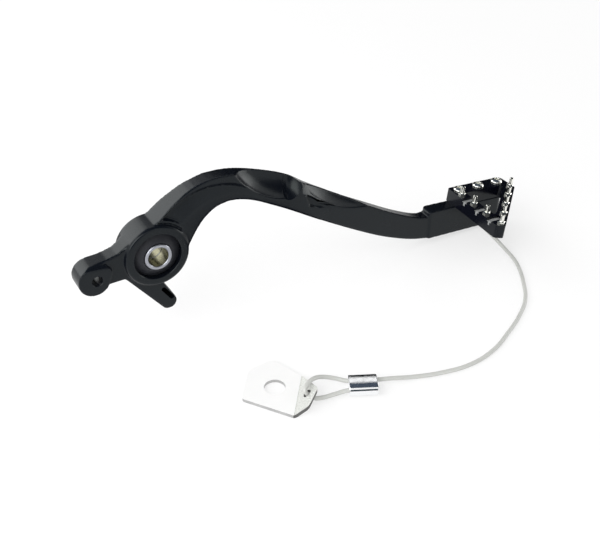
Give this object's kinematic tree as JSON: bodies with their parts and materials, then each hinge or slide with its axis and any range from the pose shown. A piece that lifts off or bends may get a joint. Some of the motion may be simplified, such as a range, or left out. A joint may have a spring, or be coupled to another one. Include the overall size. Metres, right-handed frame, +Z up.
{
  "type": "rear brake pedal",
  "caption": "Rear brake pedal for an off-road motorcycle: black forged arm with a bearing hub, pushrod ear and slotted lug, pinned triangular tread, and a tether cable with its bent bracket.",
  "frame": {"origin": "centre of the pivot bore, midway between the hub's two faces", "axes": "+X forward from the pivot to the tread tip, +Y along the pivot into the motorcycle's frame, +Z up; the tread reaches outwards to -Y"},
  "size_m": [0.3047, 0.1295, 0.0968],
  "materials": {
    "arm_alloy": "satin black anodised",
    "tread_alloy": "satin black anodised",
    "stainless": "bright stainless",
    "pin_steel": "bright stainless",
    "sleeve_steel": "ground",
    "bearing_steel": "oiled",
    "seal_rubber": "matt",
    "ferrule_steel": "polished",
    "cable_cover": "covered wire rope",
    "plate_steel": "polished sheet"
  },
  "bodies": {
    "pedal": {"pedal_arm": "arm_alloy", "tread_frame": "tread_alloy", "tread_screw_1": "stainless", "tread_screw_2": "stainless", "tread_screw_3": "stainless", "grip_pin_1": "pin_steel", "grip_pin_2": "pin_steel", "grip_pin_3": "pin_steel", "grip_pin_4": "pin_steel", "grip_pin_5": "pin_steel", "grip_pin_6": "pin_steel", "grip_pin_7": "pin_steel", "grip_pin_8": "pin_steel", "bearing_cup": "bearing_steel", "bearing_needles": "bearing_steel", "lip_seal_outer": "seal_rubber", "lip_seal_inner": "seal_rubber", "cable_stop": "ferrule_steel", "tether_cable": "cable_cover", "tether_ferrule": "ferrule_steel"},
    "sleeves": {"pivot_sleeve_outer": "sleeve_steel", "pivot_sleeve_inner": "sleeve_steel"},
    "bracket": {"tether_bracket": "plate_steel"}
  },
  "joints": [
    {"name": "pivot_turn", "type": "hinge", "parent": "pedal", "child": "sleeves", "pos_m": [0, 0, 0], "axis": [0, 1, 0], "continuous": true},
    {"name": "bracket_lift", "type": "hinge", "parent": "pedal", "child": "bracket", "pos_m": [0.04443, -0.09685, -0.05356], "axis": [0.6157, 0.788, 0], "range_deg": [0, 30]}
  ]
}
